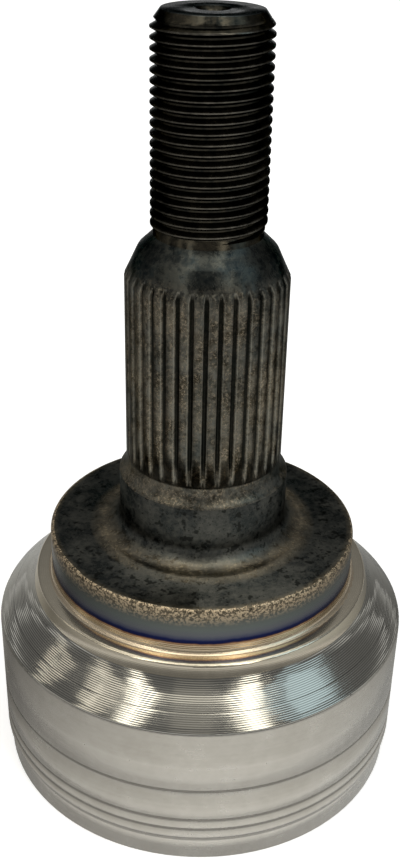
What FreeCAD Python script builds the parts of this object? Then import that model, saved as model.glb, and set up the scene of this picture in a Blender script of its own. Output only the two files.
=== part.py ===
import FreeCAD, Part
import os
import re
import Sketcher
from FreeCAD import Vector

# Outboard fixed CV joint (Rzeppa type), standing on the mouth of its bell with the stub shaft
# pointing up +Z.  Millimetres.  The origin is the centre of the rim at the mouth.
# Every piece turns about the joint's centre, which lies on the axis at joint_height.

SIZES = {
    # mechanism
    "joint_height": 21.0,          # joint's centre above the rim
    "ball_count": 6,
    "ball_diameter": 19.05,        # 3/4 inch bearing ball
    "pitch_radius": 32.5,          # axis to ball centre
    "track_offset": 2.0,           # centre of a track's arc from the joint's centre, along the axis
    "joint_angle": 45.0,           # largest tilt, degrees
    "track_gap": 0.2,              # ball to the bottom of its track
    "cage_gap": 0.2,               # cage to either race
    "window_gap": 0.25,            # ball to the long sides of its window
    "window_slack": 1.5,           # ball to the short sides of its window
    "window_round": 3.0,
    "cage_radius": 35.0,
    "cage_wall": 4.6,
    "cage_width": 31.0,
    "race_width": 25.0,
    "edge_chamfer": 0.6,
    # splined bore of the inner race and its circlip
    "bore_radius": 13.0,
    "bore_depth": 1.0,             # depth of the bore's flutes
    "bore_flutes": 28,
    "bore_root_width": 0.9,
    "clip_inset": 4.0,             # race's face to the middle of the circlip's groove
    "clip_wire": 1.6,
    "clip_gap": 0.1,
    "clip_proud": 0.35,            # how far the circlip stands into the bore
    "clip_opening": 40.0,          # degrees
    # bell
    "bell_wall": 5.4,              # metal behind the deepest point of a ball track
    "seat_groove_height": 20.4,    # line where the boot's seat begins
    "rim_step": 0.8,
    "lip_width": 5.8,              # rim's face, from its outer edge to the mouth's chamfer
    "seat_reach": 13.0,            # spherical seat below the joint's centre
    "track_spare": 1.5,            # track left beyond the ball at full tilt, degrees
    "track_run_out": 75.0,         # far enough round to pass out through a face, degrees
    "fine_groove_low": 9.2,
    "fine_groove_high": 12.0,
    "fine_groove_width": 0.9,
    "fine_groove_depth": 0.25,
    "clamp_groove_height": 6.0,
    "clamp_groove_width": 1.8,
    "clamp_groove_depth": 0.6,
    "floor_gap": 1.2,              # tilted inner race to the cavity's floor
    "shoulder_rise": 15.3,         # joint's centre to the top of the bell's cylinder
    "cone_height": 8.0,
    "cone_run": 8.4,
    "cone_round": 1.8,
    "step_height": 3.0,
    "step_draft": 0.7,
    # flange that bears on the hub
    "crown_wall": 8.1,             # cavity's floor to the flange's face
    "flange_radius": 35.0,
    "flange_foot_round": 1.2,
    "edge_round": 0.8,
    "land_width": 5.55,            # collar's wall to the land's edge
    "land_height": 0.6,
    # stub shaft
    "collar_radius": 18.95,
    "collar_height": 14.3,
    "collar_foot_round": 4.2,
    "neck_radius": 17.05,
    "neck_length": 4.6,
    "spline_radius": 17.35,
    "spline_length": 41.5,
    "spline_flutes": 36,
    "spline_depth": 1.05,
    "spline_root_width": 0.6,
    "flute_angle": 22.5,           # slope of a flute's walls, degrees
    "flute_overshoot": 0.6,        # flute's cut beyond the tooth tips
    "hob_radius": 30.0,            # cutter that leaves the run-out at the spline's foot
    "shoulder_radius": 14.55,
    "shoulder_length": 6.0,
    "shoulder_round": 2.0,
    "nose_length": 3.0,
    "relief_radius": 11.4,
    "relief_length": 1.2,
    "thread_radius": 12.0,         # M24 x 2, over its crests
    "thread_length": 42.3,
    "thread_chamfer": 2.0,
    "thread_chamfer_length": 2.7,
    "centre_radius": 3.4,          # 60 degree centre drilled in the end
    "pilot_radius": 1.6,
    "pilot_depth": 4.5,
    "pilot_tip": 0.9,
}

# Lengths worked out from the sizes above.
TRACK_RADIUS = "hypot(pitch_radius; track_offset)"
GROOVE_RADIUS = "(ball_diameter / 2 + track_gap)"
BELL = f"({TRACK_RADIUS} + {GROOVE_RADIUS} + bell_wall)"
RIM = f"({BELL} - rim_step)"
SEAT = "(cage_radius + cage_gap)"
CAGE_BORE = "(cage_radius - cage_wall)"
RACE = f"({CAGE_BORE} - cage_gap)"
RACE_FACE = f"sqrt({RACE} ^ 2 - (race_width / 2) ^ 2)"
RACE_REACH = f"({RACE_FACE} * sin(joint_angle * 1 deg) + race_width / 2 * cos(joint_angle * 1 deg))"
FLOOR_RISE = f"({RACE_REACH} + floor_gap)"
HALF_TILT = "(joint_angle / 2 * 1 deg)"
TRACK_END = (f"({HALF_TILT} + asin(track_offset * cos({HALF_TILT}) / {TRACK_RADIUS})"
             f" + asin({GROOVE_RADIUS} / {TRACK_RADIUS}) + track_spare * 1 deg)")

MOUTH_TOP = "(joint_height - seat_reach)"
FLOOR = f"(joint_height + {FLOOR_RISE})"
CONE_FOOT = "(joint_height + shoulder_rise)"
CONE_TOP = f"({CONE_FOOT} + cone_height)"
STEP_TOP = f"({CONE_TOP} + step_height)"
FLANGE_TOP = f"({FLOOR} + crown_wall)"
LAND = "(collar_radius + land_width)"
LAND_TOP = f"({FLANGE_TOP} + land_height)"
COLLAR_TOP = f"({FLANGE_TOP} + collar_height)"
SPLINE_FOOT = f"({COLLAR_TOP} + neck_length)"
SPLINE_TOP = f"({SPLINE_FOOT} + spline_length)"
SHOULDER_TOP = f"({SPLINE_TOP} + shoulder_length)"
NOSE_TOP = f"({SHOULDER_TOP} + nose_length)"
THREAD_FOOT = f"({NOSE_TOP} + relief_length)"
TIP = f"({THREAD_FOOT} + thread_length)"
CLIP_HEIGHT = "(race_width / 2 - clip_inset)"
CONE_EDGE = f"({BELL} - cone_run)"
NECK_ARC = "(((collar_radius - neck_radius) ^ 2 + neck_length ^ 2) / (collar_radius - neck_radius) / 2)"
SPLINE_ROOT = "(spline_radius - spline_depth)"
RUN_OUT = "sqrt(2 * hob_radius * spline_depth - spline_depth ^ 2)"

doc = FreeCAD.newDocument("cv_joint")
sheet = doc.addObject("Spreadsheet::Sheet", "sizes")
for row, (alias, size) in enumerate(SIZES.items(), 1):
    sheet.set(f"A{row}", alias)
    sheet.set(f"B{row}", str(size))
    sheet.setAlias(f"B{row}", alias)
doc.recompute()


def number(text):
    """What an expression in the sizes' names comes to."""
    result = sheet.evalExpression(text)
    return float(getattr(result, "Value", result))


def bound(text):
    """The expression as other objects write it, each size's name pointed at the sheet."""
    return re.sub(r"[a-z_]+", lambda word: "sizes." + word[0] if word[0] in SIZES else word[0], text)


def bind(thing, **expressions):
    for name, text in expressions.items():
        thing.setExpression(name, bound(text))


def origin_part(body, role):
    return next(part for part in body.Origin.OriginFeatures if part.Role == role)


def new_body(label, height="0"):
    body = doc.addObject("PartDesign::Body", label)
    body.Label = label
    body.setExpression(".Placement.Base.z", bound(height))
    return body


def new_sketch(body, name, plane, offset="0"):
    sketch = body.newObject("Sketcher::SketchObject", name)
    sketch.AttachmentSupport = [(origin_part(body, plane), "")]
    sketch.MapMode = "FlatFace"
    sketch.setExpression(".AttachmentOffset.Base.z", bound(offset))
    return sketch


def constrain(sketch, kind, *args):
    """Adds a constraint whose last argument is an expression, and keeps it bound to the sheet."""
    text = args[-1]
    index = sketch.addConstraint(Sketcher.Constraint(kind, *args[:-1], number(text)))
    sketch.setExpression(f"Constraints[{index}]", bound(text))


def pin_point(sketch, line, end, x, y):
    """Ties a point to its two coordinates; one on an axis of the sketch is put on that axis."""
    for kind, text, axis in (("DistanceX", x, -2), ("DistanceY", y, -1)):
        if text == "0":
            sketch.addConstraint(Sketcher.Constraint("PointOnObject", line, end, axis))
        elif number(text) < 0:
            constrain(sketch, kind, line, end, -1, 1, f"-({text})")
        else:
            constrain(sketch, kind, -1, 1, line, end, text)


def arc_between(start, finish, radius, side):
    """The short arc from start to finish with its centre on the left (side 1) or right (-1)."""
    chord = finish - start
    across = Vector(-chord.y, chord.x, 0).normalize() * side
    depth = max(radius ** 2 - (chord.Length / 2) ** 2, 0) ** 0.5
    centre = start + chord / 2 + across * depth
    first, last = (start, finish) if side > 0 else (finish, start)
    middle = centre + (start + chord / 2 - centre).normalize() * radius
    return Part.ArcOfCircle(first, middle, last)


def outline(sketch, corners):
    """Closed outline through corners (x, y), where (x, y, radius, side) is reached by an arc."""
    points = [Vector(number(corner[0]), number(corner[1]), 0) for corner in corners]
    ends = []
    for index, corner in enumerate(corners):
        start, finish = points[index - 1], points[index]
        if len(corner) == 2:
            line = sketch.addGeometry(Part.LineSegment(start, finish), False)
            ends.append((line, 1, 2))
        else:
            radius, side = corner[2:]
            line = sketch.addGeometry(arc_between(start, finish, number(radius), side), False)
            ends.append((line, 1, 2) if side > 0 else (line, 2, 1))
    for index, (line, _, finish) in enumerate(ends):
        following, start, _ = ends[(index + 1) % len(ends)]
        sketch.addConstraint(Sketcher.Constraint("Coincident", line, finish, following, start))
        pin_point(sketch, line, finish, *corners[index][:2])
        if len(corners[index]) > 2:
            constrain(sketch, "Radius", line, corners[index][2])


def circle(sketch, x, radius):
    """A circle with its centre on the sketch's own X axis."""
    ring = sketch.addGeometry(Part.Circle(Vector(number(x), 0, 0), Vector(0, 0, 1), number(radius)), False)
    pin_point(sketch, ring, 3, x, "0")
    constrain(sketch, "Radius", ring, radius)


def feature(body, kind, name, sketch, **properties):
    made = body.newObject(f"PartDesign::{kind}", name)
    made.Profile = sketch
    for key, setting in properties.items():
        setattr(made, key, setting)
    sketch.Visibility = False
    return made


def turned(body, name, sketch, **properties):
    """A solid of revolution about the body's Z axis."""
    return feature(body, "Revolution", name, sketch, ReferenceAxis=(sketch, ["V_Axis"]), **properties)


def all_round(body, name, originals, count):
    pattern = body.newObject("PartDesign::PolarPattern", name)
    pattern.Originals = originals
    pattern.Axis = (origin_part(body, "Z_Axis"), [""])
    pattern.Angle = 360
    bind(pattern, Occurrences=count)
    body.Tip = pattern
    return pattern


def ring_edges(solid, rings):
    """Names of the round edges at each (radius, height)."""
    names = []
    for index, edge in enumerate(solid.Shape.Edges, 1):
        if not isinstance(edge.Curve, Part.Circle):
            continue
        for radius, height in rings:
            off = abs(edge.Curve.Radius - number(radius)) + abs(edge.Curve.Center.z - number(height))
            if off < 1e-4:
                names.append(f"Edge{index}")
    return names


def rounded(body, name, base, radius, rings):
    doc.recompute()
    fillet = body.newObject("PartDesign::Fillet", name)
    fillet.Base = (base, ring_edges(base, rings))
    bind(fillet, Radius=radius)
    return fillet


def wall_groove(radius, height, width, depth):
    """Corners of a groove turned into a cylinder, from its lower edge to its upper one."""
    low, high = f"({height} - {width} / 2)", f"({height} + {width} / 2)"
    return [
        (radius, low),
        (f"({radius} - {depth})", f"({low} + {depth})"),
        (f"({radius} - {depth})", f"({high} - {depth})"),
        (radius, high),
    ]


def on_sphere(radius, height):
    """Distance from the axis of a point on a sphere, at a height above its centre."""
    return f"sqrt({radius} ^ 2 - ({height}) ^ 2)"


def ball_tracks(body, offset, rise, drop):
    """Torus-shaped tracks for the balls, cut by turning the groove's round section."""
    section = new_sketch(body, "track_section", "XY_Plane", offset)
    circle(section, TRACK_RADIUS, GROOVE_RADIUS)
    track = feature(body, "Groove", "track", section, ReferenceAxis=(section, ["V_Axis"]), Type="TwoAngles")
    bind(track, Angle=drop, Angle2=rise)
    return all_round(body, "tracks", [track], "ball_count")


def forged_blank(body):
    """Bell, flange and stub shaft turned from one forging, with the cavity inside."""
    section = new_sketch(body, "section", "XZ_Plane")
    floor_radius = on_sphere(SEAT, FLOOR_RISE)
    centre_foot = f"({TIP} - (centre_radius - pilot_radius) / tan(30 deg))"
    outside = [
        (f"({RIM} - lip_width)", "0"),
        (RIM, "0"),
        (RIM, "(clamp_groove_height - clamp_groove_width / 2)"),
        *wall_groove(BELL, "clamp_groove_height", "clamp_groove_width", "clamp_groove_depth")[1:],
        *wall_groove(BELL, "fine_groove_low", "fine_groove_width", "fine_groove_depth"),
        *wall_groove(BELL, "fine_groove_high", "fine_groove_width", "fine_groove_depth"),
        *wall_groove(BELL, "seat_groove_height", "fine_groove_width", "fine_groove_depth"),
        (BELL, CONE_FOOT),
        (CONE_EDGE, CONE_TOP),
        (f"({CONE_EDGE} - step_draft)", STEP_TOP),
        ("flange_radius", STEP_TOP),
        ("flange_radius", FLANGE_TOP),
        (f"({LAND} + land_height)", FLANGE_TOP),
        (LAND, LAND_TOP),
        ("collar_radius", LAND_TOP),
        ("collar_radius", COLLAR_TOP),
        ("neck_radius", SPLINE_FOOT, NECK_ARC, -1),
        ("spline_radius", SPLINE_FOOT),
        ("spline_radius", SPLINE_TOP),
        ("shoulder_radius", SHOULDER_TOP),
        ("relief_radius", NOSE_TOP),
        ("relief_radius", THREAD_FOOT),
        ("thread_radius", f"({THREAD_FOOT} + thread_radius - relief_radius)"),
        ("thread_radius", f"({TIP} - thread_chamfer_length)"),
        ("(thread_radius - thread_chamfer)", TIP),
        ("centre_radius", TIP),
        ("pilot_radius", centre_foot),
        ("pilot_radius", f"({centre_foot} - pilot_depth)"),
        ("0", f"({centre_foot} - pilot_depth - pilot_tip)"),
    ]
    cavity = [
        ("0", FLOOR),
        (floor_radius, FLOOR),
        (on_sphere(SEAT, "seat_reach"), MOUTH_TOP, SEAT, -1),
    ]
    outline(section, outside + cavity)
    return turned(body, "blank", section)


def shaft_flutes(body):
    """One flute of the stub's spline: straight, then curving out where the hob left the metal."""
    section = new_sketch(body, "flute_section", "XY_Plane", f"{SPLINE_FOOT} + {RUN_OUT}")
    tip = "(spline_radius + flute_overshoot)"
    half_root = "(spline_root_width / 2)"
    half_tip = f"({half_root} + (spline_depth + flute_overshoot) * tan(flute_angle * 1 deg))"
    outline(section, [
        (SPLINE_ROOT, f"-{half_root}"),
        (tip, f"-{half_tip}"),
        (tip, half_tip),
        (SPLINE_ROOT, half_root),
    ])
    arbor_x = f"({SPLINE_ROOT} + hob_radius)"
    arbor = sketch_axis(section, arbor_x)
    straight = feature(body, "Pocket", "flute", section, Reversed=True)
    bind(straight, Length=f"{SHOULDER_TOP} - {SPLINE_FOOT}")
    run_out = feature(body, "Groove", "run_out", section, ReferenceAxis=(section, [arbor]), Reversed=True)
    bind(run_out, Angle=f"2 * asin({RUN_OUT} / hob_radius)")
    return all_round(body, "spline", [straight, run_out], "spline_flutes")


def sketch_axis(sketch, x):
    """A construction line across the sketch at x, which features call by the name returned."""
    start, finish = Vector(number(x), -1, 0), Vector(number(x), 1, 0)
    line = sketch.addGeometry(Part.LineSegment(start, finish), True)
    pin_point(sketch, line, 1, x, "-1")
    pin_point(sketch, line, 2, x, "1")
    return "Axis0"


def make_outer_race():
    body = new_body("outer_race")
    blank = forged_blank(body)
    rounds = rounded(body, "cone_rounding", blank, "cone_round", [(BELL, CONE_FOOT)])
    rounds = rounded(body, "collar_foot", rounds, "collar_foot_round", [("collar_radius", LAND_TOP)])
    rounds = rounded(body, "flange_foot", rounds, "flange_foot_round", [("flange_radius", STEP_TOP)])
    rounds = rounded(body, "shoulder_rounding", rounds, "shoulder_round", [("shoulder_radius", SHOULDER_TOP)])
    rounds = rounded(body, "edge_rounding", rounds, "edge_round", [
        ("flange_radius", FLANGE_TOP),
        (f"({CONE_EDGE} - step_draft)", STEP_TOP),
    ])
    doc.recompute()
    ball_tracks(body, "joint_height - track_offset", TRACK_END, "track_run_out")
    shaft_flutes(body)
    return body


def make_inner_race():
    """Star of six tracks on a spherical race, splined to the axle shaft."""
    body = new_body("inner_race", "joint_height")
    section = new_sketch(body, "section", "XZ_Plane")
    face = "(race_width / 2)"
    bevel_radius = f"(bore_radius + bore_depth + edge_chamfer / 2)"
    bevel = f"({bevel_radius} - bore_radius)"
    clip_half = "(clip_wire / 2 + clip_gap)"
    groove_radius = "(bore_radius - clip_proud + clip_wire + clip_gap)"
    outline(section, [
        ("bore_radius", f"({CLIP_HEIGHT} + {clip_half})"),
        (groove_radius, f"({CLIP_HEIGHT} + {clip_half})"),
        (groove_radius, f"({CLIP_HEIGHT} - {clip_half})"),
        ("bore_radius", f"({CLIP_HEIGHT} - {clip_half})"),
        ("bore_radius", f"({bevel} - {face})"),
        (bevel_radius, f"-{face}"),
        (f"({RACE_FACE} - edge_chamfer)", f"-{face}"),
        (on_sphere(RACE, f"{face} - edge_chamfer"), f"(edge_chamfer - {face})"),
        (on_sphere(RACE, f"{face} - edge_chamfer"), f"({face} - edge_chamfer)", RACE, 1),
        (f"({RACE_FACE} - edge_chamfer)", face),
        (bevel_radius, face),
        ("bore_radius", f"({face} - {bevel})"),
    ])
    turned(body, "blank", section)
    ball_tracks(body, "track_offset", "track_run_out", "track_run_out")
    flute = new_sketch(body, "flute_section", "XY_Plane", f"-{face}")
    half_root = "(bore_root_width / 2)"
    inner = "(bore_radius - flute_overshoot)"
    half_inner = f"({half_root} + (bore_depth + flute_overshoot) * tan(flute_angle * 1 deg))"
    outline(flute, [
        (inner, f"-{half_inner}"),
        ("(bore_radius + bore_depth)", f"-{half_root}"),
        ("(bore_radius + bore_depth)", half_root),
        (inner, half_inner),
    ])
    cut = feature(body, "Pocket", "flute", flute, Reversed=True)
    bind(cut, Length="race_width")
    all_round(body, "bore_spline", [cut], "bore_flutes")
    return body


def make_cage():
    """Spherical ring whose windows hold the balls in the plane that halves the joint's angle."""
    body = new_body("cage", "joint_height")
    section = new_sketch(body, "section", "XZ_Plane")
    face = "(cage_width / 2)"
    outer_corner = on_sphere("cage_radius", f"{face} - edge_chamfer")
    inner_corner = on_sphere(CAGE_BORE, face)
    outline(section, [
        (inner_corner, f"-{face}", CAGE_BORE, -1),
        (f"({outer_corner} - edge_chamfer)", f"-{face}"),
        (outer_corner, f"(edge_chamfer - {face})"),
        (outer_corner, f"({face} - edge_chamfer)", "cage_radius", 1),
        (f"({outer_corner} - edge_chamfer)", face),
        (inner_corner, face),
    ])
    turned(body, "ring", section)
    opening = new_sketch(body, "window_section", "YZ_Plane")
    side = "(ball_diameter / 2 + window_slack)"
    top = "(ball_diameter / 2 + window_gap)"
    inset_side, inset_top = f"({side} - window_round)", f"({top} - window_round)"
    outline(opening, [
        (inset_side, f"-{top}"),
        (side, f"-{inset_top}", "window_round", 1),
        (side, inset_top),
        (inset_side, top, "window_round", 1),
        (f"-{inset_side}", top),
        (f"-{side}", inset_top, "window_round", 1),
        (f"-{side}", f"-{inset_top}"),
        (f"-{inset_side}", f"-{top}", "window_round", 1),
    ])
    window = feature(body, "Pocket", "window", opening, Reversed=True)
    bind(window, Length="cage_radius")
    all_round(body, "windows", [window], "ball_count")
    return body


def make_circlip():
    """Snap ring in the inner race's groove, which springs into the axle shaft's own groove."""
    body = new_body("circlip", "joint_height")
    section = new_sketch(body, "section", "XZ_Plane")
    inside = "(bore_radius - clip_proud)"
    low, high = f"({CLIP_HEIGHT} - clip_wire / 2)", f"({CLIP_HEIGHT} + clip_wire / 2)"
    outline(section, [
        (inside, low),
        (f"({inside} + clip_wire)", low),
        (f"({inside} + clip_wire)", high),
        (inside, high),
    ])
    ring = turned(body, "ring", section)
    bind(ring, Angle="360 - clip_opening")
    return body


def make_balls():
    balls = []
    for index in range(round(number("ball_count"))):
        ball = doc.addObject("Part::Sphere", f"ball_{index + 1}")
        ball.Label = f"ball_{index + 1}"
        bearing = f"360 deg * {index} / ball_count"
        bind(ball, Radius="ball_diameter / 2")
        ball.setExpression(".Placement.Base.x", bound(f"pitch_radius * cos({bearing})"))
        ball.setExpression(".Placement.Base.y", bound(f"pitch_radius * sin({bearing})"))
        ball.setExpression(".Placement.Base.z", bound("joint_height"))
        balls.append(ball)
    return balls


def check(sub_parts):
    """Stops on any failed object, unsound shape, or cut that took nothing away."""
    for thing in doc.Objects:
        if {"Invalid", "Error"} & set(thing.State):
            raise RuntimeError(f"{thing.Label} did not recompute: {thing.State}")
    for part in sub_parts:
        if part.Shape.isNull() or not part.Shape.isValid() or len(part.Shape.Solids) != 1:
            raise RuntimeError(f"{part.Label} is not one sound solid")
        features = [thing for thing in getattr(part, "Group", []) if hasattr(thing, "BaseFeature")]
        for cut in features:
            if cut.TypeId in ("PartDesign::Pocket", "PartDesign::Groove"):
                if cut.Shape.Volume > cut.BaseFeature.Shape.Volume - 0.01:
                    raise RuntimeError(f"{part.Label} {cut.Name} cuts nothing")


def export(sub_parts):
    os.makedirs("parts", exist_ok=True)
    for part in sub_parts:
        part.Shape.exportStep(f"parts/{part.Label}.step")
        box = part.Shape.BoundBox
        print(f"{part.Label}: {part.Shape.Volume:.1f} mm3, z {box.ZMin:.2f} to {box.ZMax:.2f}")


assembly = [make_outer_race(), make_inner_race(), make_cage(), make_circlip(), *make_balls()]
doc.recompute()
check(assembly)
export(assembly)
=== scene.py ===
import math

import bmesh
import bpy
from mathutils import Matrix, Vector


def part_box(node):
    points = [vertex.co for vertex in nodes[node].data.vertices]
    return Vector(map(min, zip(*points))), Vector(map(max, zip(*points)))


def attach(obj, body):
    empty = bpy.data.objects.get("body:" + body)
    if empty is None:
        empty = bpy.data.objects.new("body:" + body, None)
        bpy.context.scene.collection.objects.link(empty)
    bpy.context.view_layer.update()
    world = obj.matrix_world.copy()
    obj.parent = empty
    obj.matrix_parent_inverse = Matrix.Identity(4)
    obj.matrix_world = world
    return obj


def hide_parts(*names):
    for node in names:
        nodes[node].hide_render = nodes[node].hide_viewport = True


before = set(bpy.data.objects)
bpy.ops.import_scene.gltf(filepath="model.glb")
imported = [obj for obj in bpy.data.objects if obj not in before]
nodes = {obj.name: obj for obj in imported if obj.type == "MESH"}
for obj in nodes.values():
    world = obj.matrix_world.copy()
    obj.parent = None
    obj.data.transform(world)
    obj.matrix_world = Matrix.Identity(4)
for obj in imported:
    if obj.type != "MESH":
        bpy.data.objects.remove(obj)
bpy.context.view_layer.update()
MM = 0.001

# Sizes of the outer race. Heights are worked down from its threaded tip, zone by zone.
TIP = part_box("outer_race")[1].z
THREAD_PITCH = 2.0 * MM
THREAD_LENGTH = 42.3 * MM
THREAD_RADIUS = 12.0 * MM
THREAD_ROOT = 10.77 * MM
THREAD_FOOT = TIP - THREAD_LENGTH
THREAD_START = THREAD_FOOT + 0.3 * MM       # part way up the lead-in
THREAD_CORE = THREAD_ROOT - 0.1 * MM        # stub under the helix
THREAD_WALL = THREAD_ROOT - 1.2 * MM        # hidden wall that closes the helix
THREAD_SUNK = 0.4 * MM                      # that wall's ends, in from the helix's ends
THREAD_CHAMFER = 2.0 * MM
THREAD_CHAMFER_LENGTH = 2.7 * MM
RELIEF_RADIUS = 11.4 * MM
NOSE_TOP = THREAD_FOOT - 1.2 * MM
SPLINE_TOP = NOSE_TOP - 9.0 * MM
SPLINE_FOOT = SPLINE_TOP - 41.5 * MM
COLLAR_TOP = SPLINE_FOOT - 4.6 * MM
FLANGE_TOP = COLLAR_TOP - 14.3 * MM
STEP_TOP = FLANGE_TOP - 11.278 * MM
CONE_TOP = STEP_TOP - 3.0 * MM
CONE_FOOT = CONE_TOP - 8.0 * MM
SPLINE_RADIUS = 17.35 * MM
SHOULDER_SLOPE = 2.8 / 6.0                  # radius lost per height above the spline
LAND_RADIUS = 24.5 * MM
FLANGE_RADIUS = 35.0 * MM
CAVITY_RADIUS = 46.0 * MM
CAVITY_TOP = STEP_TOP + 4.0 * MM
BELL_RADIUS = 47.686 * MM
CLAMP_GROOVE = 6.0 * MM
SCRIBED_LINE = CONE_FOOT + 3.1 * MM

# The thread's rows of points: steps round, and shares of a pitch from one crest's middle to the next.
THREAD_STEPS = 120
THREAD_PARTS = (0.0, 0.0625, 0.2, 0.34, 0.4165, 0.5, 0.5835, 0.66, 0.8, 0.9375)
WELD = 1e-7
THREAD_WELD = 2e-6


# ---------------------------------------------------------------- shader building


def node(tree, kind, inputs=None, **settings):
    """Adds a node; inputs are numbers, colours or sockets to link, keyed by name or index."""
    made = tree.nodes.new(kind)
    for key, setting in settings.items():
        setattr(made, key, setting)
    for key, given in (inputs or {}).items():
        if isinstance(given, bpy.types.NodeSocket):
            tree.links.new(given, made.inputs[key])
        else:
            made.inputs[key].default_value = given
    return made


def calc(tree, operation, first, second=0.0, third=0.0, clamp=False):
    """Result of one sum on numbers or sockets."""
    inputs = {0: first, 1: second, 2: third}
    return node(tree, "ShaderNodeMath", inputs, operation=operation, use_clamp=clamp).outputs[0]


def times(tree, first, *others):
    """Product of numbers or sockets."""
    for other in others:
        first = calc(tree, "MULTIPLY", first, other)
    return first


def ramp(tree, factor, stops):
    """A colour ramp with stops (position, grey or colour)."""
    made = node(tree, "ShaderNodeValToRGB", {0: factor})
    elements = made.color_ramp.elements
    while len(elements) < len(stops):
        elements.new(1.0)
    for element, (position, shade) in zip(elements, stops):
        element.position = position
        element.color = (shade, shade, shade, 1) if isinstance(shade, float) else (*shade, 1)
    return made.outputs[0]


def blend(tree, factor, first, second):
    """Mixes two colours or colour sockets; a factor of one gives the second."""
    made = node(tree, "ShaderNodeMix", data_type="RGBA")
    for index, given in ((0, factor), (6, first), (7, second)):
        if isinstance(given, bpy.types.NodeSocket):
            tree.links.new(given, made.inputs[index])
        else:
            made.inputs[index].default_value = (*given, 1) if isinstance(given, tuple) else given
    return made.outputs[2]


def effect(name, inputs, outputs):
    """A shader node group with named sockets, and its own input and output sockets inside.

    An input's default is a number, or None for a vector.
    """
    group = bpy.data.node_groups.new(name, "ShaderNodeTree")
    for label, default in inputs.items():
        kind = "NodeSocketVector" if default is None else "NodeSocketFloat"
        socket = group.interface.new_socket(label, in_out="INPUT", socket_type=kind)
        if default is not None:
            socket.default_value = default
    for label in outputs:
        group.interface.new_socket(label, in_out="OUTPUT", socket_type="NodeSocketFloat")
    return group, group.nodes.new("NodeGroupInput").outputs, group.nodes.new("NodeGroupOutput").inputs


def use(tree, group, **inputs):
    """Places an effect's group in a tree, and gives its outputs."""
    made = node(tree, "ShaderNodeGroup", node_tree=group)
    for label, given in inputs.items():
        socket = made.inputs[label]
        if isinstance(given, bpy.types.NodeSocket):
            tree.links.new(given, socket)
        else:
            socket.default_value = given
    return made.outputs


# ---------------------------------------------------------------- effects


def make_lathe_place():
    """Height, radius and distance along a turned profile, all in millimetres."""
    group, given, made = effect("lathe_place", {"Place": None}, ["Height", "Radius", "Along"])
    axes = node(group, "ShaderNodeSeparateXYZ", {0: given["Place"]}).outputs
    squares = calc(group, "MULTIPLY_ADD", axes[0], axes[0], times(group, axes[1], axes[1]))
    across = calc(group, "SQRT", squares)
    height = times(group, axes[2], 1.0 / MM)
    radius = times(group, across, 1.0 / MM)
    group.links.new(height, made["Height"])
    group.links.new(radius, made["Radius"])
    group.links.new(calc(group, "SUBTRACT", height, radius), made["Along"])
    return group


def make_blotches():
    """Soft mottling: a broad noise broken up by a finer one, spread from 0 to 1."""
    group, given, made = effect("blotches", {"Place": None, "Size": 5.0, "Break": 0.5}, ["Mask"])
    scale = calc(group, "DIVIDE", 1.0 / MM, given["Size"])
    broad = node(group, "ShaderNodeTexNoise",
                 {"Vector": given["Place"], "Scale": scale, "Detail": 4.0, "Roughness": 0.6}).outputs[0]
    fine_scale = times(group, scale, 5.3)
    fine = node(group, "ShaderNodeTexNoise",
                {"Vector": given["Place"], "Scale": fine_scale, "Detail": 3.0, "Roughness": 0.7}).outputs[0]
    mixed = calc(group, "MULTIPLY_ADD", calc(group, "SUBTRACT", fine, 0.5), given["Break"], broad)
    spread = node(group, "ShaderNodeMapRange", {0: mixed, 1: 0.32, 2: 0.68}).outputs[0]
    group.links.new(spread, made["Mask"])
    return group


def make_specks():
    """Small pits and grains scattered over a surface; Amount sets how many show."""
    group, given, made = effect("specks", {"Place": None, "Size": 0.6, "Amount": 0.3}, ["Mask"])
    scale = calc(group, "DIVIDE", 1.0 / MM, given["Size"])
    grain = node(group, "ShaderNodeTexNoise",
                 {"Vector": given["Place"], "Scale": scale, "Detail": 2.0, "Roughness": 0.8}).outputs[0]
    floor = calc(group, "SUBTRACT", 0.72, times(group, given["Amount"], 0.3))
    ceiling = calc(group, "ADD", floor, 0.07)
    group.links.new(node(group, "ShaderNodeMapRange", {0: grain, 1: floor, 2: ceiling}).outputs[0],
                    made["Mask"])
    return group


def make_turning():
    """Feed lines left by a lathe tool: even ridges along the profile, a little uneven in depth."""
    group, given, made = effect("turning", {"Along": 0.0, "Feed": 0.4, "Uneven": 0.5}, ["Ridge", "Depth"])
    turns = calc(group, "DIVIDE", given["Along"], given["Feed"])
    ridge = calc(group, "PINGPONG", turns, 0.5)
    step = calc(group, "FLOOR", turns)
    drift = node(group, "ShaderNodeTexWhiteNoise", {"W": step}, noise_dimensions="1D").outputs[0]
    depth = calc(group, "SUBTRACT", 1.0, times(group, drift, given["Uneven"]))
    group.links.new(times(group, ridge, 2.0), made["Ridge"])
    group.links.new(depth, made["Depth"])
    return group


LATHE_PLACE = make_lathe_place()
BLOTCHES = make_blotches()
SPECKS = make_specks()
TURNING = make_turning()


def mottled(tree, place, size, broken):
    """Mask of soft blotches of a size in millimetres; broken sets how ragged they are."""
    return use(tree, BLOTCHES, Place=place, Size=size, Break=broken)["Mask"]


def speckled(tree, place, size, amount):
    """Mask of specks of a size in millimetres; amount sets how many there are."""
    return use(tree, SPECKS, Place=place, Size=size, Amount=amount)["Mask"]


# ---------------------------------------------------------------- finishes


def material(name):
    """A material, its tree, its Principled shader, and the place on the object that it colours."""
    made = bpy.data.materials.new(name)
    made.use_nodes = True
    tree = made.node_tree
    shader = next(item for item in tree.nodes if item.type == "BSDF_PRINCIPLED")
    place = node(tree, "ShaderNodeTexCoord").outputs["Object"]
    return made, tree, shader, place


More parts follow.
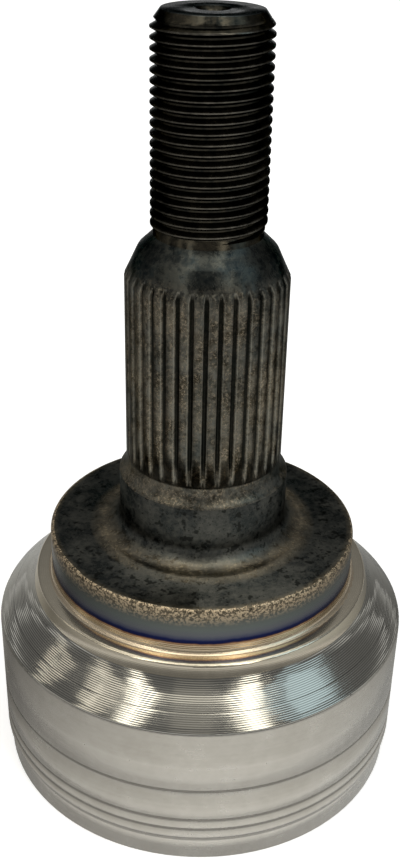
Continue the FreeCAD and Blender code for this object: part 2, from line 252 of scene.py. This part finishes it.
def dress(tree, shader, color, roughness, height, bump, depth, metallic=1.0):
    """Feeds the shader its colour and roughness, and a height that bumps it, depth millimetres high."""
    shader.inputs["Metallic"].default_value = metallic
    tree.links.new(color, shader.inputs["Base Color"])
    tree.links.new(roughness, shader.inputs["Roughness"])
    relief = node(tree, "ShaderNodeBump", {"Height": height, "Strength": bump, "Distance": depth * MM})
    tree.links.new(relief.outputs[0], shader.inputs["Normal"])


def radial_grain(tree, shader, amount):
    """Turned metal stretches its highlights across the feed lines."""
    shader.inputs["Anisotropic"].default_value = amount
    tangent = node(tree, "ShaderNodeTangent", direction_type="RADIAL", axis="Z")
    tree.links.new(tangent.outputs[0], shader.inputs["Tangent"])


def tint(shades, gain):
    """A colour made lighter or darker by a gain."""
    return tuple(gain * shade for shade in shades)


def near(tree, value, middle, half_width):
    """One where the value is at its middle, falling to nought half_width away."""
    off = calc(tree, "ABSOLUTE", calc(tree, "SUBTRACT", value, middle))
    return node(tree, "ShaderNodeMapRange", {0: off, 1: 0.0, 2: half_width, 3: 1.0, 4: 0.0}).outputs[0]


def between(tree, value, start, stop):
    """Rises from nought at start to one at stop, which may be the lower of the two."""
    return node(tree, "ShaderNodeMapRange", {0: value, 1: start, 2: stop}).outputs[0]


def turned_steel(name, feed, bump, roughness, stretch, tones, groove, scribed=None, wall=None):
    """Bright turned steel: feed lines, small stains, a scribed line, and painted shade that darkens the
    grooves of a wall.
    """
    made, tree, shader, place = material(name)
    lathe = use(tree, LATHE_PLACE, Place=place)
    lines = use(tree, TURNING, Along=lathe["Along"], Feed=feed, Uneven=0.5)
    stains = mottled(tree, place, 14.0, 0.6)
    dots = speckled(tree, place, 0.8, 0.05)
    passes = times(tree, lathe["Along"], 0.45)
    streaks = node(tree, "ShaderNodeTexNoise", {"W": passes, "Scale": 1.0, "Detail": 3.0},
                   noise_dimensions="1D").outputs[0]
    tone = blend(tree, calc(tree, "MULTIPLY_ADD", stains, 0.4, times(tree, streaks, 0.7)), *tones)
    shaded = blend(tree, times(tree, lines["Ridge"], groove), tone, tint(tones[0], 0.35))
    color = blend(tree, times(tree, dots, 0.35), shaded, (0.20, 0.17, 0.13))
    height = times(tree, lines["Ridge"], lines["Depth"])
    if scribed is not None:
        line = near(tree, lathe["Height"], scribed / MM, 0.09)
        color = blend(tree, line, color, tint(tones[0], 0.15))
        height = calc(tree, "SUBTRACT", height, line)
    if wall is not None:
        # Painted shade: darkens the wall's grooves, where the surface sinks below the wall's radius, above
        # the rim.
        groove_shade = between(tree, lathe["Radius"], wall / MM - 0.04, wall / MM - 0.2)
        above_rim = between(tree, lathe["Height"], CLAMP_GROOVE / MM - 1.0, CLAMP_GROOVE / MM - 0.7)
        color = blend(tree, times(tree, groove_shade, above_rim, 0.6), color, tint(tones[0], 0.2))
    rough = calc(tree, "MULTIPLY_ADD", times(tree, stains, streaks), 0.12, roughness)
    dress(tree, shader, color, rough, height, bump, 0.1)
    radial_grain(tree, shader, stretch)
    return made


def heat_tinted_rim():
    """Flange's rim: scale and rust at its top edge, then the blue and straw bands of the hardened zone."""
    made, tree, shader, place = material("heat_tinted_rim")
    lathe = use(tree, LATHE_PLACE, Place=place)
    wander = calc(tree, "SUBTRACT", mottled(tree, place, 9.0, 0.3), 0.5)
    height = calc(tree, "MULTIPLY_ADD", wander, 0.35, lathe["Height"])
    along = between(tree, height, STEP_TOP / MM, FLANGE_TOP / MM)
    bands = ramp(tree, along, [
        (0.00, (0.64, 0.54, 0.40)),
        (0.16, (0.58, 0.47, 0.33)),
        (0.21, (0.36, 0.22, 0.12)),
        (0.235, (0.10, 0.05, 0.05)),
        (0.25, (0.008, 0.011, 0.045)),
        (0.30, (0.010, 0.014, 0.060)),
        (0.34, (0.055, 0.060, 0.10)),
        (0.42, (0.105, 0.11, 0.125)),
        (0.55, (0.11, 0.125, 0.12)),
        (0.72, (0.10, 0.105, 0.095)),
        (0.84, (0.12, 0.105, 0.08)),
        (1.00, (0.14, 0.115, 0.08)),
    ])
    upper = between(tree, along, 0.62, 0.97)
    rust = times(tree, speckled(tree, place, 0.7, 0.85), upper)
    pits = times(tree, speckled(tree, place, 0.6, 0.55), upper)
    rusted = blend(tree, rust, bands, (0.56, 0.45, 0.31))
    color = blend(tree, pits, rusted, (0.03, 0.025, 0.018))
    rough = calc(tree, "MULTIPLY_ADD", upper, 0.25, 0.24)
    lines = use(tree, TURNING, Along=lathe["Along"], Feed=0.45, Uneven=0.5)
    relief = calc(tree, "MULTIPLY_ADD", rust, 2.0, lines["Ridge"])
    dress(tree, shader, color, rough, relief, 0.3, 0.05)
    radial_grain(tree, shader, 0.4)
    return made


def oiled_thread():
    """Black oxide under oil, with crests that the nut has rubbed a little brighter."""
    made, tree, shader, place = material("oiled_thread")
    lathe = use(tree, LATHE_PLACE, Place=place)
    patches = mottled(tree, place, 6.0, 0.8)
    ground = blend(tree, patches, (0.010, 0.011, 0.010), (0.045, 0.040, 0.030))
    crest = between(tree, lathe["Radius"], THREAD_RADIUS / MM - 0.22, THREAD_RADIUS / MM - 0.02)
    rubbed = times(tree, crest, calc(tree, "MULTIPLY_ADD", patches, 0.6, 0.25))
    oxide = blend(tree, rubbed, ground, (0.14, 0.13, 0.11))
    end_face = between(tree, lathe["Height"], TIP / MM - 0.06, TIP / MM - 0.02)
    color = blend(tree, end_face, oxide, (0.060, 0.066, 0.066))
    rough = calc(tree, "MULTIPLY_ADD", patches, 0.12, 0.16)
    dress(tree, shader, color, rough, patches, 0.10, 0.03)
    shader.inputs["Specular Tint"].default_value = (0.25, 0.26, 0.26, 1)
    return made


def hardened_stub():
    """Shoulder and spline: blued and dark at the shoulder, worn grey on the lands, with painted shade that
    makes the flutes black and a painted highlight, partly wear, on the tooth edges.
    """
    made, tree, shader, place = material("hardened_stub")
    lathe = use(tree, LATHE_PLACE, Place=place)
    patches = mottled(tree, place, 6.0, 0.9)
    clouds = mottled(tree, place, 17.0, 0.6)
    grains = speckled(tree, place, 0.5, 0.6)
    dark = blend(tree, clouds, (0.020, 0.023, 0.021), (0.045, 0.036, 0.022))
    light = blend(tree, clouds, (0.11, 0.115, 0.105), (0.20, 0.18, 0.14))
    ground = blend(tree, calc(tree, "MULTIPLY_ADD", patches, 0.85, 0.05), dark, light)
    blued = blend(tree, patches, (0.015, 0.019, 0.020), (0.050, 0.052, 0.046))
    scale = between(tree, lathe["Height"], SPLINE_TOP / MM + 3.6, SPLINE_TOP / MM - 1.5)
    worn = blend(tree, scale, blued, ground)
    rusty = blend(tree, times(tree, grains, clouds, scale), worn, (0.30, 0.25, 0.18))

    # Depth below the tooth tips, whose line slopes inward above the spline's end.
    past_end = calc(tree, "MAXIMUM", calc(tree, "SUBTRACT", lathe["Height"], SPLINE_TOP / MM), 0.0)
    surface = calc(tree, "MULTIPLY_ADD", past_end, -SHOULDER_SLOPE, SPLINE_RADIUS / MM)
    depth = calc(tree, "SUBTRACT", surface, lathe["Radius"])
    above_collar = between(tree, lathe["Height"], SPLINE_FOOT / MM, SPLINE_FOOT / MM + 0.4)
    toothed = times(tree, above_collar, between(tree, past_end, 2.4, 1.6))
    # Lighter lines at the tooth edges: partly wear, partly a painted highlight along the edges.
    corner = times(tree, near(tree, depth, 0.22, 0.2), calc(tree, "MULTIPLY_ADD", patches, 0.5, 0.3))
    worn_glinting_edges = blend(tree, times(tree, corner, toothed), rusty, (0.26, 0.25, 0.21))
    # Painted shade: the floors of the flutes are made near black.
    flute_shade = between(tree, depth, 0.40, 0.80)
    color = blend(tree, times(tree, flute_shade, toothed, 0.92), worn_glinting_edges, (0.005, 0.006, 0.005))

    rough = calc(tree, "MULTIPLY_ADD", scale, 0.10, calc(tree, "MULTIPLY_ADD", patches, 0.12, 0.2))
    dress(tree, shader, color, rough, calc(tree, "ADD", patches, grains), 0.22, 0.04)
    shader.inputs["Specular Tint"].default_value = (0.35, 0.36, 0.36, 1)
    return made


def scaled_flange():
    """Collar and flange face: slate grey scale, rubbed tan at the flange's edge, and tan on the land that
    is partly wear and partly painted highlight.
    """
    made, tree, shader, place = material("scaled_flange")
    lathe = use(tree, LATHE_PLACE, Place=place)
    patches = mottled(tree, place, 7.0, 0.9)
    clouds = mottled(tree, place, 20.0, 0.5)
    grains = speckled(tree, place, 0.7, 0.55)
    pits = speckled(tree, place, 0.6, 0.3)
    crust = speckled(tree, place, 2.2, 0.5)
    slate = blend(tree, patches, (0.036, 0.040, 0.038), (0.10, 0.10, 0.088))
    scabs = calc(tree, "MAXIMUM", pits, times(tree, crust, 0.85))
    pitted = blend(tree, scabs, slate, (0.016, 0.017, 0.015))
    # Tan ring on the land and the fillet's foot: partly wear, partly a painted highlight laid all round.
    land = near(tree, lathe["Radius"], LAND_RADIUS / MM - 1.6, 3.2)
    land_wear_and_glint = times(tree, land, calc(tree, "MULTIPLY_ADD", clouds, 0.9, 0.1))
    edge = between(tree, lathe["Radius"], FLANGE_RADIUS / MM - 1.8, FLANGE_RADIUS / MM - 0.2)
    # Carries the land's painted highlight as well as the rubbed tan at the edge.
    rubbed = calc(tree, "ADD", land_wear_and_glint, times(tree, edge, 0.5), clamp=True)
    grainy = times(tree, rubbed, calc(tree, "MULTIPLY_ADD", grains, 0.5, 0.5))
    color = blend(tree, grainy, pitted, (0.50, 0.41, 0.27))
    rough = calc(tree, "MULTIPLY_ADD", patches, 0.15, 0.26)
    dress(tree, shader, color, rough, calc(tree, "ADD", patches, grains), 0.3, 0.05)
    shader.inputs["Specular Tint"].default_value = (0.4, 0.41, 0.41, 1)
    return made


def plain_steel(name, tones, roughness, metallic=1.0):
    """Ground or coated steel of the inner pieces, with a thin film of grease."""
    made, tree, shader, place = material(name)
    smears = mottled(tree, place, 6.0, 0.7)
    color = blend(tree, smears, *tones)
    rough = calc(tree, "MULTIPLY_ADD", smears, 0.15, roughness)
    dress(tree, shader, color, rough, smears, 0.05, 0.02, metallic)
    shader.inputs["Coat Weight"].default_value = 0.3
    return made


THREAD_FINISH = oiled_thread()
STUB_FINISH = hardened_stub()
FACE_FINISH = scaled_flange()
RIM_FINISH = heat_tinted_rim()
STEP_FINISH = turned_steel(
    "bright_step", feed=0.45, bump=0.03, roughness=0.15, stretch=0.6,
    tones=((0.60, 0.54, 0.42), (0.68, 0.62, 0.50)), groove=0.1)
CONE_FINISH = turned_steel(
    "turned_cone", feed=0.654, bump=0.28, roughness=0.08, stretch=0.6,
    tones=((0.50, 0.485, 0.43), (0.55, 0.535, 0.48)), groove=0.75, scribed=SCRIBED_LINE)
BELL_FINISH = turned_steel(
    "satin_bell", feed=0.30, bump=0.10, roughness=0.22, stretch=0.5,
    tones=((0.42, 0.395, 0.35), (0.62, 0.595, 0.55)), groove=0.15, wall=BELL_RADIUS)
CAVITY_FINISH = plain_steel("ground_cavity", ((0.30, 0.29, 0.27), (0.42, 0.41, 0.39)), 0.28)


# ---------------------------------------------------------------- outer race and its thread


def zone(height, inside):
    """Finish of a spot on the outer race, from its height and whether it is in the cavity."""
    edge = 0.05 * MM
    if inside:
        return CAVITY_FINISH
    if height > NOSE_TOP - edge:
        return THREAD_FINISH
    if height > COLLAR_TOP - edge:
        return STUB_FINISH
    if height > FLANGE_TOP - edge:
        return FACE_FINISH
    if height > STEP_TOP + edge:
        return RIM_FINISH
    if height > CONE_TOP - edge:
        return STEP_FINISH
    if height > CONE_FOOT - edge:
        return CONE_FINISH
    return BELL_FINISH


def new_piece(name, mesh, body):
    """A new piece of that mesh, which rides on a body."""
    piece = bpy.data.objects.new(name, mesh)
    bpy.context.scene.collection.objects.link(piece)
    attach(piece, body)
    return piece


def smooth(mesh, degrees):
    """Shades a mesh smooth, apart from edges sharper than an angle."""
    mesh.shade_smooth()
    mesh.set_sharp_from_angle(angle=math.radians(degrees))


def set_radius(vert, radius):
    """Moves a vertex straight in or out from the Z axis."""
    gain = radius / math.hypot(vert.co.x, vert.co.y)
    vert.co.x *= gain
    vert.co.y *= gain


def in_cavity(face, middle):
    """Whether a face of the outer race lines its cavity: it looks inward or down, within the wall."""
    inward = face.normal.x * middle.x + face.normal.y * middle.y < -1e-9
    downward = face.normal.z < -0.2
    within = middle.z < CAVITY_TOP and math.hypot(middle.x, middle.y) < CAVITY_RADIUS
    return within and (inward or downward)


def even_rings(mesh, finishes):
    """Gives each turned ring one slope all round, so that its highlight runs unbroken."""
    slots = {index for index, finish in enumerate(mesh.materials) if finish in finishes}
    normals = [corner.vector.copy() for corner in mesh.corner_normals]
    slopes = {}
    turned = []
    for face in mesh.polygons:
        if face.material_index not in slots:
            continue
        for corner in face.loop_indices:
            spot = mesh.vertices[mesh.loops[corner].vertex_index].co
            radius = math.hypot(spot.x, spot.y)
            out = Vector((spot.x / radius, spot.y / radius, 0.0))
            ring = (face.material_index, round(radius / MM, 1), round(spot.z / MM, 1))
            slope = slopes.setdefault(ring, [0.0, 0.0])
            slope[0] += normals[corner].dot(out)
            slope[1] += normals[corner].z
            turned.append((corner, out, slope))
    for corner, out, (across, up) in turned:
        normals[corner] = (out * across + Vector((0.0, 0.0, up))).normalized()
    mesh.normals_split_custom_set(normals)


def make_race_forging():
    """The outer race with its stub drawn in to the thread's core, and a finish for every zone."""
    shape = bmesh.new()
    shape.from_mesh(nodes["outer_race"].data)
    bmesh.ops.remove_doubles(shape, verts=shape.verts, dist=WELD)
    for vert in shape.verts:
        if vert.co.z > THREAD_START and math.hypot(vert.co.x, vert.co.y) > RELIEF_RADIUS:
            set_radius(vert, THREAD_CORE)
    finishes = [THREAD_FINISH, STUB_FINISH, FACE_FINISH, RIM_FINISH, STEP_FINISH, CONE_FINISH,
                BELL_FINISH, CAVITY_FINISH]
    for face in shape.faces:
        middle = face.calc_center_median()
        face.material_index = finishes.index(zone(middle.z, in_cavity(face, middle)))
    mesh = bpy.data.meshes.new("race_forging")
    shape.to_mesh(mesh)
    shape.free()
    for finish in finishes:
        mesh.materials.append(finish)
    smooth(mesh, 36)
    even_rings(mesh, (STEP_FINISH, CONE_FINISH, RIM_FINISH))
    piece = new_piece("race_forging", mesh, "outer_race")
    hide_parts("outer_race")


def thread_radius(height, turn):
    """Radius of the thread's surface at a height, where turn is the share of a turn from the start."""
    phase = (height - THREAD_FOOT) / THREAD_PITCH - turn
    from_crest = abs(phase - round(phase)) * THREAD_PITCH
    flank = THREAD_RADIUS - max(0.0, from_crest - THREAD_PITCH / 16) * math.tan(math.radians(60))
    nose = THREAD_RADIUS - THREAD_CHAMFER * (1 - (TIP - height) / THREAD_CHAMFER_LENGTH)
    lead_in = RELIEF_RADIUS + height - THREAD_FOOT
    return min(max(flank, THREAD_ROOT), nose, lead_in)


def thread_rows(shape):
    """Rows of points that climb one pitch in each turn, from below the thread's foot to past its tip."""
    turns = math.ceil(THREAD_LENGTH / THREAD_PITCH) + 1
    levels = [whole + part for whole in range(-1, turns) for part in THREAD_PARTS]
    rows = []
    for level in levels:
        row = []
        for step in range(THREAD_STEPS):
            turn = step / THREAD_STEPS
            height = min(max(THREAD_FOOT + (level + turn) * THREAD_PITCH, THREAD_FOOT), TIP)
            radius = thread_radius(height, turn)
            across = (radius * math.cos(math.tau * turn), radius * math.sin(math.tau * turn))
            row.append(shape.verts.new((*across, height)))
        rows.append(row)
    return rows


def close_thread(shape):
    """Turns both rims of the skin inward, below the core's surface, and joins them by a hidden wall."""
    rims = [edge for edge in shape.edges if edge.is_boundary]
    walls = bmesh.ops.extrude_edge_only(shape, edges=rims)["geom"]
    for vert in [item for item in walls if isinstance(item, bmesh.types.BMVert)]:
        set_radius(vert, THREAD_WALL)
        vert.co.z += THREAD_SUNK if vert.co.z < THREAD_FOOT + THREAD_SUNK else -THREAD_SUNK
    loops = [edge for edge in shape.edges if edge.is_boundary]
    bmesh.ops.bridge_loops(shape, edges=loops)
    bmesh.ops.recalc_face_normals(shape, faces=shape.faces)


def make_thread():
    """Right-hand 60 degree thread: one helical skin, closed by a wall buried in the stub's core."""
    shape = bmesh.new()
    rows = thread_rows(shape)
    for lower, upper in zip(rows, rows[1:]):
        for step in range(THREAD_STEPS - 1):
            shape.faces.new((lower[step], lower[step + 1], upper[step + 1], upper[step]))
    # A row's end lies one pitch above its start, so the seam joins it to the start of the row a pitch on.
    pitch_on = len(THREAD_PARTS)
    for index in range(len(rows) - 1 - pitch_on):
        end, start = rows[index], rows[index + pitch_on]
        end_above, start_above = rows[index + 1], rows[index + 1 + pitch_on]
        shape.faces.new((end[-1], start[0], start_above[0], end_above[-1]))
    bmesh.ops.remove_doubles(shape, verts=shape.verts, dist=THREAD_WELD)
    bmesh.ops.dissolve_degenerate(shape, edges=shape.edges, dist=WELD)
    close_thread(shape)
    mesh = bpy.data.meshes.new("stub_thread")
    shape.to_mesh(mesh)
    shape.free()
    mesh.materials.append(THREAD_FINISH)
    smooth(mesh, 40)
    new_piece("stub_thread", mesh, "outer_race")


def finish_nodes():
    """Finishes of the inner pieces, whose CAD shapes stay as they are."""
    race = plain_steel("ground_race", ((0.42, 0.41, 0.39), (0.54, 0.53, 0.51)), 0.22)
    cage = plain_steel("phosphated_cage", ((0.07, 0.07, 0.07), (0.13, 0.125, 0.12)), 0.42, 0.7)
    ball = plain_steel("polished_ball", ((0.66, 0.66, 0.66), (0.72, 0.72, 0.71)), 0.06)
    clip = plain_steel("blackened_spring", ((0.04, 0.04, 0.045), (0.09, 0.09, 0.09)), 0.35, 0.8)
    finishes = {"inner_race": race, "cage": cage, "circlip": clip}
    for name, piece in nodes.items():
        if name != "outer_race":
            piece.data.materials.clear()
            piece.data.materials.append(finishes.get(name, ball))


# ---------------------------------------------------------------- studio

# Lengths are in metres and angles in degrees.
CAMERA_PLACE = (0, -0.2259, 0.2046)
CAMERA_PITCH = 28.45
CAMERA_LEAN = 1.27
LAMP_DISTANCE = 0.9
FLOOR_DROP = 0.1 * MM
FLOOR_FRONT = (0.25, -0.97, 0)
WARM = (1.0, 0.94, 0.82)
PALE = (1.0, 0.96, 0.86)
COOL = (0.66, 0.88, 1.0)

# name, azimuth, elevation, width, height, brightness, colour
SOFT_BOXES = (
    ("left_key", -38.5, 46, 0.11, 0.90, 4.0, PALE),
    ("right_key", 32, 47, 0.16, 0.90, 3.8, PALE),
    ("front_fill", -3, 47, 0.30, 0.60, 0.22, WARM),
    ("left_strip", -61, 42, 0.14, 0.70, 1.5, WARM),
    ("far_left_strip", -90, 32, 0.10, 0.60, 1.2, WARM),
    ("right_window", 66, 42, 0.40, 0.70, 1.1, COOL),
    ("top_box", 0, 86, 0.90, 0.90, 1.0, PALE),
)


def make_camera():
    """Looks down at the joint from the front, leaning a little to one side."""
    data = bpy.data.cameras.new("camera")
    data.sensor_width = 36.0
    data.lens = 48.28
    data.shift_x = -0.0048
    camera = bpy.data.objects.new("camera", data)
    tilt = Matrix.Rotation(math.radians(90 - CAMERA_PITCH), 4, "X")
    lean = Matrix.Rotation(math.radians(CAMERA_LEAN), 4, "Z")
    camera.matrix_world = Matrix.Translation(CAMERA_PLACE) @ tilt @ lean
    bpy.context.scene.collection.objects.link(camera)
    bpy.context.scene.camera = camera


def make_soft_box(name, azimuth, elevation, width, height, glow, color):
    """A soft box of a brightness, turned about Z from the front (-Y) and then raised above the floor."""
    data = bpy.data.lights.new(name, "AREA")
    data.shape = "RECTANGLE"
    data.size, data.size_y = width, height
    data.energy = glow * math.pi * width * height
    data.color = color
    lamp = bpy.data.objects.new(name, data)
    turn, lift = math.radians(azimuth), math.radians(elevation)
    back = Vector((math.sin(turn) * math.cos(lift), -math.cos(turn) * math.cos(lift), math.sin(lift)))
    lamp.location = Vector((0, 0, CONE_TOP)) + back * LAMP_DISTANCE
    lamp.rotation_mode = "QUATERNION"
    lamp.rotation_quaternion = (-back).to_track_quat("-Z", "Y")
    bpy.context.scene.collection.objects.link(lamp)


def seen_directly(tree):
    """Two masks: rays from the camera, and rays that a glossy or clear surface sends on."""
    path = node(tree, "ShaderNodeLightPath").outputs
    mirrored = calc(tree, "MAXIMUM", path["Is Glossy Ray"], path["Is Transmission Ray"])
    return path["Is Camera Ray"], mirrored


def floor_front(tree, place):
    """Mask of the floor's lighter parts: most in front of the joint, some behind it, none beside it."""
    way = node(tree, "ShaderNodeVectorMath", {0: place}, operation="NORMALIZE").outputs["Vector"]
    facing = node(tree, "ShaderNodeVectorMath", {0: way, 1: FLOOR_FRONT}, operation="DOT_PRODUCT")
    facing = facing.outputs["Value"]
    return calc(tree, "MAXIMUM", between(tree, facing, -0.35, 1.0),
                times(tree, between(tree, facing, -0.45, -1.0), 0.7))


def make_floor():
    """Pale floor that keeps the joint's shadow, and is clear from below, where the mouth opens. What metal
    sees of it carries a painted reflection: darker beside the joint, glowing in front of and behind it.
    """
    bpy.ops.mesh.primitive_plane_add(size=8.0, location=(0, 0, -FLOOR_DROP))
    floor = bpy.context.object
    floor.name = "floor"
    made, tree, shader, place = material("pale_floor")
    shader.inputs["Roughness"].default_value = 0.9
    shader.inputs["Specular IOR Level"].default_value = 0.0
    shader.inputs["Emission Color"].default_value = (1, 1, 1, 1)
    camera_ray, mirrored = seen_directly(tree)
    front = floor_front(tree, place)
    # Painted reflection: only for glossy and clear rays, the floor beside the joint is darkened, and the
    # floor in front of and behind it glows, more strongly close to the joint.
    dim = times(tree, mirrored, calc(tree, "SUBTRACT", 1.0, front))
    tree.links.new(blend(tree, dim, (0.8, 0.8, 0.8), (0.26, 0.26, 0.26)), shader.inputs["Base Color"])
    away = node(tree, "ShaderNodeVectorMath", {0: place}, operation="LENGTH").outputs["Value"]
    mirrored_glow = calc(tree, "MULTIPLY_ADD", between(tree, away, 0.07, 0.05), 0.2, 0.19)
    plain_glow = calc(tree, "MULTIPLY_ADD", between(tree, away, 0.15, 0.6), 0.3, 0.6)
    glow = calc(tree, "MULTIPLY_ADD", camera_ray, plain_glow, times(tree, mirrored, front, mirrored_glow))
    tree.links.new(glow, shader.inputs["Emission Strength"])
    below = node(tree, "ShaderNodeNewGeometry").outputs["Backfacing"]
    tree.links.new(calc(tree, "SUBTRACT", 1.0, below), shader.inputs["Alpha"])
    floor.data.materials.append(made)


def make_world():
    """White backdrop, which the metal shows as well, under a dimmer room above it."""
    world = bpy.data.worlds.new("studio")
    bpy.context.scene.world = world
    world.use_nodes = True
    tree = world.node_tree
    background = next(item for item in tree.nodes if item.type == "BACKGROUND")
    direction = node(tree, "ShaderNodeTexCoord").outputs["Generated"]
    up = node(tree, "ShaderNodeSeparateXYZ", {0: direction}).outputs[2]
    room = ramp(tree, up, [(0.0, 0.36), (0.2, 0.20), (0.4, 0.16), (0.7, 0.27), (1.0, 0.35)])
    camera_ray, mirrored = seen_directly(tree)
    backdrop = times(tree, mirrored, between(tree, up, 0.10, 0.0))
    seen = calc(tree, "MAXIMUM", camera_ray, backdrop)
    tree.links.new(blend(tree, seen, room, (1.0, 1.0, 1.0)), background.inputs[0])


make_race_forging()
make_thread()
finish_nodes()
make_floor()
make_camera()
for soft_box in SOFT_BOXES:
    make_soft_box(*soft_box)
make_world()
bpy.context.scene.view_settings.view_transform = "Standard"
